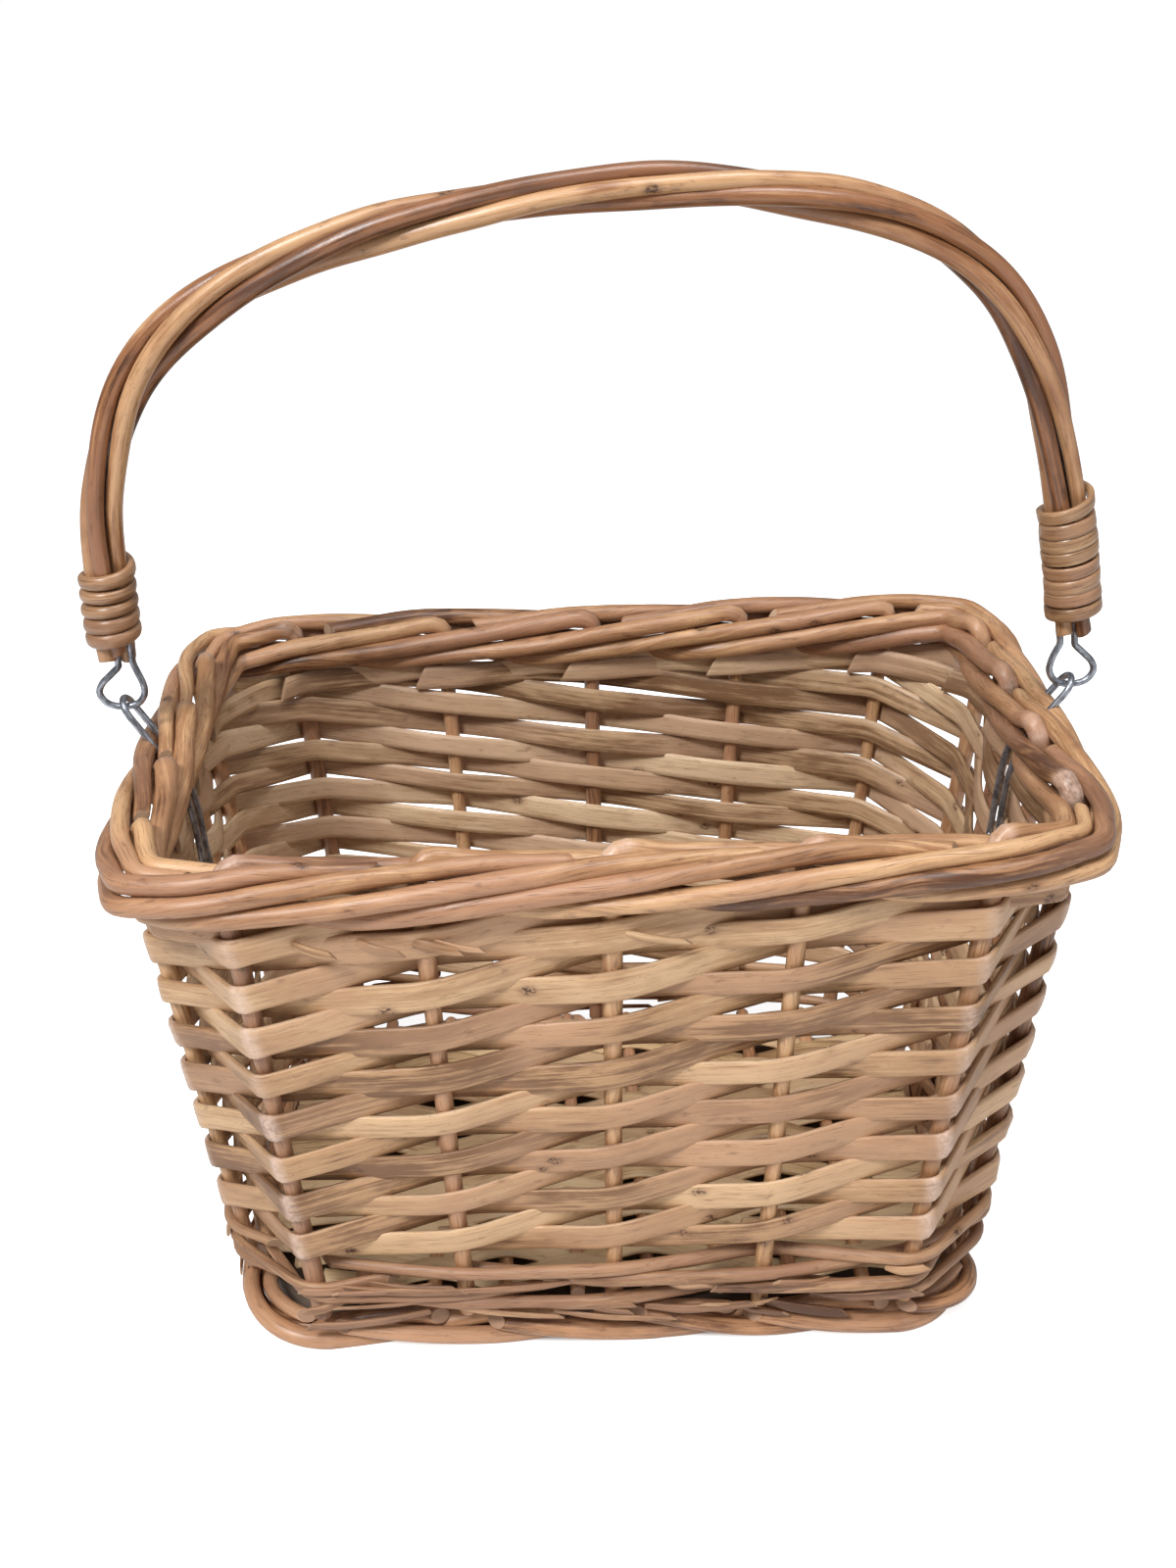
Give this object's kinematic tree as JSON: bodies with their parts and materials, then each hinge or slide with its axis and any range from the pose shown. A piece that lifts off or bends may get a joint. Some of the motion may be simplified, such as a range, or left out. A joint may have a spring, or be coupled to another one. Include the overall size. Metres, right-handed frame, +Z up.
{
  "type": "rectangular woven willow basket with a swing handle",
  "caption": "Rectangular willow basket of split weavers on upright stakes, with a rolled rim border and a rod-wound handle that swings on wire eyes.",
  "frame": {"origin": "on the ground, under the middle of the basket", "axes": "+Z up; +X to the right along the long walls; the front wall faces -Y"},
  "size_m": [0.3324, 0.2114, 0.3682],
  "materials": {
    "border_willow": "smooth peeled willow rod, satin",
    "split_willow": "split and shaved willow, satin",
    "wale_willow": "thin peeled willow rod, satin",
    "foot_willow": "peeled willow rod, satin",
    "handle_willow": "peeled willow rod, satin",
    "binding_cane": "split cane, satin",
    "steel_wire": "plain drawn wire, dulled"
  },
  "bodies": {
    "basket": {"stake_01": "border_willow", "stake_02": "border_willow", "stake_03": "border_willow", "stake_04": "border_willow", "stake_05": "border_willow", "stake_06": "border_willow", "stake_07": "border_willow", "stake_08": "border_willow", "stake_09": "border_willow", "stake_10": "border_willow", "stake_11": "border_willow", "stake_12": "border_willow", "stake_13": "border_willow", "stake_14": "border_willow", "stake_15": "border_willow", "stake_16": "border_willow", "stake_17": "border_willow", "stake_18": "border_willow", "weaver_01": "split_willow", "weaver_02": "split_willow", "weaver_03": "split_willow", "weaver_04": "split_willow", "weaver_05": "split_willow", "weaver_06": "split_willow", "weaver_07": "split_willow", "weaver_08": "split_willow", "weaver_09": "split_willow", "weaver_10": "split_willow", "weaver_11": "split_willow", "weaver_12": "split_willow", "weaver_13": "split_willow", "weaver_14": "split_willow", "weaver_15": "split_willow", "weaver_16": "split_willow", "weaver_17": "split_willow", "weaver_18": "split_willow", "wale_rod_1": "wale_willow", "wale_rod_2": "wale_willow", "wale_rod_3": "wale_willow", "wale_rod_4": "wale_willow", "foot_border": "foot_willow", "base_sticks": "foot_willow", "base_weave": "split_willow", "staple_left": "steel_wire", "staple_right": "steel_wire"},
    "handle": {"handle_rod_1": "handle_willow", "handle_rod_2": "handle_willow", "handle_rod_3": "handle_willow", "handle_rod_4": "handle_willow", "handle_wire": "steel_wire", "handle_binding_left": "binding_cane", "handle_binding_right": "binding_cane"}
  },
  "joints": [
    {"name": "handle_swing", "type": "hinge", "parent": "basket", "child": "handle", "pos_m": [0, 0, 0.1985], "axis": [1, 0, 0], "range_deg": [-82, 82]}
  ]
}
